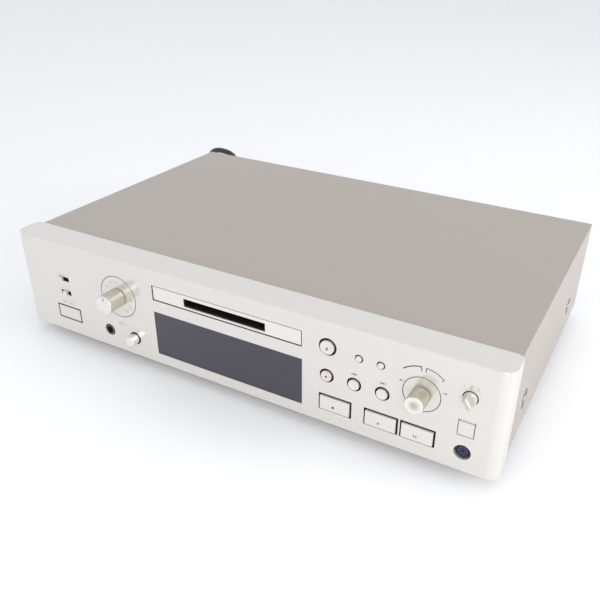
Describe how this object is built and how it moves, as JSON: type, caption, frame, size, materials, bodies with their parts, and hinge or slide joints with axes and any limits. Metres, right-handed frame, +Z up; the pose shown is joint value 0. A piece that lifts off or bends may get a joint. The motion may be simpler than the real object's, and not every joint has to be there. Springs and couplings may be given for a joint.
{
  "type": "minidisc deck",
  "caption": "Full-width minidisc recorder deck with front slot, display window, jog and level knobs, transport buttons, and a captive mains lead coiled behind.",
  "frame": {"origin": "under the middle of the deck, on the surface its feet stand on, at the centre of its bounding box without the mains lead", "axes": "+X to the right as seen from the front, +Y to the back, +Z up"},
  "size_m": [0.4968, 0.4076, 0.0972],
  "materials": {
    "fascia": "satin metallic paint",
    "bezel": "satin metallic paint",
    "window": "smoked, polished",
    "tube_glass": "polished",
    "steel": "plain",
    "zinc_steel": "zinc plated",
    "iron": "varnished laminations and winding",
    "board": "bare laminate",
    "black_plastic": "moulded",
    "navy_plastic": "moulded",
    "white_plastic": "moulded",
    "chrome": "bright",
    "knob_metal": "turned",
    "knob_grey": "satin",
    "button_cream": "satin",
    "button_grey": "satin",
    "button_rose": "satin",
    "rear_paint": "satin",
    "cover_paint": "fine textured",
    "brass": "plated",
    "feet_plastic": "moulded, with a softer ring underneath",
    "rubber": "soft",
    "screw_steel": "plated",
    "cord_black": "smooth"
  },
  "bodies": {
    "deck": {"front_fascia": "fascia", "slot_bezel": "bezel", "display_window": "window", "display_tube": "tube_glass", "sub_frame": "steel", "front_board": "board", "front_switches": "black_plastic", "rotary_controls": "steel", "jog_encoder": "steel", "phones_jack_body": "black_plastic", "phones_jack_bushing": "chrome", "keyboard_socket": "navy_plastic", "optical_in_socket": "black_plastic", "bottom_chassis": "zinc_steel", "rear_panel": "rear_paint", "top_cover": "cover_paint", "circuit_boards": "board", "power_transformer": "iron", "ribbon_cable": "white_plastic", "rear_sockets": "black_plastic", "rca_sleeves": "brass", "feet": "feet_plastic", "case_screws": "screw_steel", "board_screws": "screw_steel", "mech_bracket": "zinc_steel", "mech_dampers": "rubber", "mech_frame": "zinc_steel", "mech_motors": "steel", "guide_rods": "screw_steel", "strain_relief": "cord_black", "mains_cord": "cord_black", "cord_coil": "cord_black", "cord_tie": "white_plastic", "mains_plug": "cord_black"},
    "level_control": {"level_shaft": "screw_steel", "level_knob": "knob_metal"},
    "power_button": {"power_button": "button_grey"},
    "timer_switch_knob": {"timer_switch_knob": "button_cream"},
    "mode_switch_knob": {"mode_switch_knob": "button_cream"},
    "phones_level_knob": {"phones_level_knob": "chrome"},
    "eject_button": {"eject_button": "button_cream"},
    "record_button": {"record_button": "button_rose"},
    "skip_back_button": {"skip_back_button": "button_cream"},
    "skip_forward_button": {"skip_forward_button": "button_cream"},
    "display_button": {"display_button": "button_cream"},
    "play_mode_button": {"play_mode_button": "button_cream"},
    "stop_button": {"stop_button": "button_cream"},
    "play_button": {"play_button": "button_cream"},
    "pause_button": {"pause_button": "button_cream"},
    "jog_shaft": {"jog_shaft": "screw_steel"},
    "jog_knob": {"jog_knob": "button_cream"},
    "selector_knob": {"selector_knob": "knob_grey"},
    "slot_flap": {"slot_flap": "black_plastic"},
    "optical_door": {"optical_door": "fascia"},
    "loading_slider": {"loading_slider": "white_plastic"},
    "cartridge_holder": {"cartridge_holder": "zinc_steel"},
    "head_arm": {"head_arm": "zinc_steel"},
    "spindle_turntable": {"spindle_turntable": "black_plastic"},
    "pickup_sled": {"pickup_sled": "black_plastic"},
    "lead_screw": {"lead_screw": "screw_steel"}
  },
  "joints": [
    {"name": "power_press", "type": "slide", "parent": "deck", "child": "power_button", "axis": [0, 1, 0], "range_m": [0, 0.0025], "stiffness_N_per_m": 700},
    {"name": "timer_switch_slide", "type": "slide", "parent": "deck", "child": "timer_switch_knob", "axis": [1, 0, 0], "range_m": [0, 0.0064]},
    {"name": "mode_switch_slide", "type": "slide", "parent": "deck", "child": "mode_switch_knob", "axis": [1, 0, 0], "range_m": [-0.0032, 0.0032]},
    {"name": "eject_press", "type": "slide", "parent": "deck", "child": "eject_button", "axis": [0, 1, 0], "range_m": [0, 0.001], "stiffness_N_per_m": 1200},
    {"name": "record_press", "type": "slide", "parent": "deck", "child": "record_button", "axis": [0, 1, 0], "range_m": [0, 0.001], "stiffness_N_per_m": 1200},
    {"name": "skip_back_press", "type": "slide", "parent": "deck", "child": "skip_back_button", "axis": [0, 1, 0], "range_m": [0, 0.001], "stiffness_N_per_m": 1200},
    {"name": "skip_forward_press", "type": "slide", "parent": "deck", "child": "skip_forward_button", "axis": [0, 1, 0], "range_m": [0, 0.001], "stiffness_N_per_m": 1200},
    {"name": "display_press", "type": "slide", "parent": "deck", "child": "display_button", "axis": [0, 1, 0], "range_m": [0, 0.001], "stiffness_N_per_m": 1200},
    {"name": "play_mode_press", "type": "slide", "parent": "deck", "child": "play_mode_button", "axis": [0, 1, 0], "range_m": [0, 0.001], "stiffness_N_per_m": 1200},
    {"name": "stop_press", "type": "slide", "parent": "deck", "child": "stop_button", "axis": [0, 1, 0], "range_m": [0, 0.001], "stiffness_N_per_m": 1200},
    {"name": "play_press", "type": "slide", "parent": "deck", "child": "play_button", "axis": [0, 1, 0], "range_m": [0, 0.001], "stiffness_N_per_m": 1200},
    {"name": "pause_press", "type": "slide", "parent": "deck", "child": "pause_button", "axis": [0, 1, 0], "range_m": [0, 0.001], "stiffness_N_per_m": 1200},
    {"name": "level_turn", "type": "hinge", "parent": "deck", "child": "level_control", "pos_m": [-0.1055, -0.1355, 0.0628], "axis": [0, 1, 0], "range_deg": [-150, 150]},
    {"name": "phones_level_turn", "type": "hinge", "parent": "deck", "child": "phones_level_knob", "pos_m": [-0.0923, -0.1355, 0.027], "axis": [0, 1, 0], "range_deg": [-150, 150]},
    {"name": "jog_turn", "type": "hinge", "parent": "deck", "child": "jog_shaft", "pos_m": [0.1597, -0.1355, 0.0623], "axis": [0, 1, 0], "continuous": true},
    {"name": "jog_press", "type": "slide", "parent": "jog_shaft", "child": "jog_knob", "axis": [0, 1, 0], "range_m": [0, 0.001], "stiffness_N_per_m": 1200},
    {"name": "selector_turn", "type": "hinge", "parent": "deck", "child": "selector_knob", "pos_m": [0.1921, -0.1355, 0.0714], "axis": [0, 1, 0], "range_deg": [0, 60]},
    {"name": "slot_flap_swing", "type": "hinge", "parent": "deck", "child": "slot_flap", "pos_m": [0, -0.1251, 0.0828], "axis": [1, 0, 0], "range_deg": [0, 80], "stiffness_Nm_per_rad": 0.0006, "springref_deg": -17.19},
    {"name": "optical_door_swing", "type": "hinge", "parent": "deck", "child": "optical_door", "pos_m": [0.1923, -0.1336, 0.0521], "axis": [1, 0, 0], "range_deg": [0, 80], "stiffness_Nm_per_rad": 0.0004, "springref_deg": -17.19},
    {"name": "loading_travel", "type": "slide", "parent": "deck", "child": "loading_slider", "axis": [0, 1, 0], "range_m": [0, 0.012]},
    {"name": "holder_lift", "type": "slide", "parent": "deck", "child": "cartridge_holder", "axis": [0, 0, -1], "range_m": [0, 0.004]},
    {"name": "head_arm_lift", "type": "hinge", "parent": "deck", "child": "head_arm", "pos_m": [0.024, -0.0365, 0.084], "axis": [1, 0, 0], "range_deg": [0, 5.3]},
    {"name": "spindle_turn", "type": "hinge", "parent": "deck", "child": "spindle_turntable", "pos_m": [0, -0.0795, 0.065], "axis": [0, 0, 1], "continuous": true},
    {"name": "sled_travel", "type": "slide", "parent": "deck", "child": "pickup_sled", "axis": [1, 0, 0], "range_m": [0, 0.014]},
    {"name": "lead_screw_turn", "type": "hinge", "parent": "deck", "child": "lead_screw", "pos_m": [0.03, -0.0595, 0.0606], "axis": [1, 0, 0], "range_deg": [0, 1610]}
  ],
  "couplings": [
    {"joint": "holder_lift", "follows": "loading_travel", "ratio": 0.3333},
    {"joint": "head_arm_lift", "follows": "loading_travel", "rad_per_m": 7.5},
    {"joint": "lead_screw_turn", "follows": "sled_travel", "rad_per_m": 1994.7}
  ]
}
